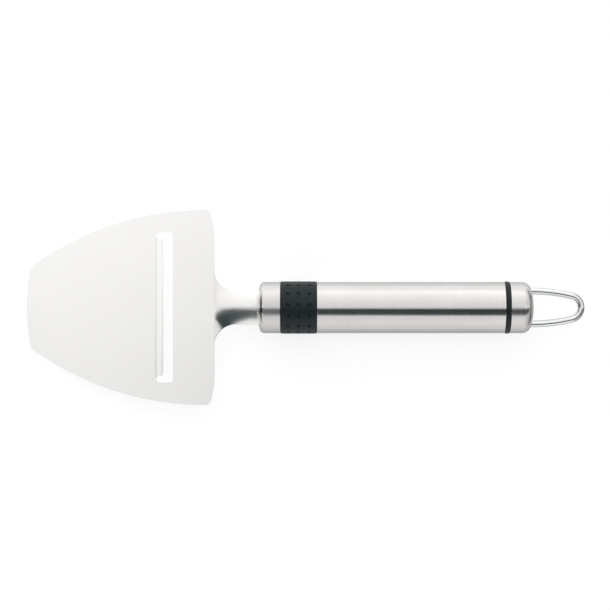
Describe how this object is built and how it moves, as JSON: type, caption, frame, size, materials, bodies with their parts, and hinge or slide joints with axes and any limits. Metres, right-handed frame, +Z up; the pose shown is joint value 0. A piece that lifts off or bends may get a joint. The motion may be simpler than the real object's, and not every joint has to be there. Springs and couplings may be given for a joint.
{
  "type": "cheese slicer",
  "caption": "Hand cheese slicer: rounded steel blade with a cross slot and bent cutting lip, tubular steel handle with a dimpled soft grip ring, and a wire hanging loop.",
  "frame": {"origin": "under the middle of the slicer's length, on the surface that it lies on", "axes": "+X along the handle towards the hanging loop, +Y across the blade, +Z up, out of the side that a slice slides over"},
  "size_m": [0.24, 0.0836, 0.0224],
  "materials": {
    "blade_steel": "satin stamped stainless sheet",
    "handle_steel": "stainless brushed around the handle",
    "wire_steel": "polished stainless wire",
    "grip_rubber": "matt moulded elastomer",
    "trim_rubber": "matt moulded elastomer",
    "core_plastic": "moulded nylon",
    "inner_steel": "plain turned steel"
  },
  "bodies": {
    "root": {"blade": "blade_steel", "front_ferrule": "handle_steel", "grip_ring": "grip_rubber", "handle_tube": "handle_steel", "rear_ring": "trim_rubber", "end_cap": "handle_steel", "hanging_loop": "wire_steel", "front_core": "core_plastic", "tang_pins": "inner_steel", "rear_plug": "core_plastic", "loop_anchor_disc": "inner_steel"}
  },
  "joints": []
}
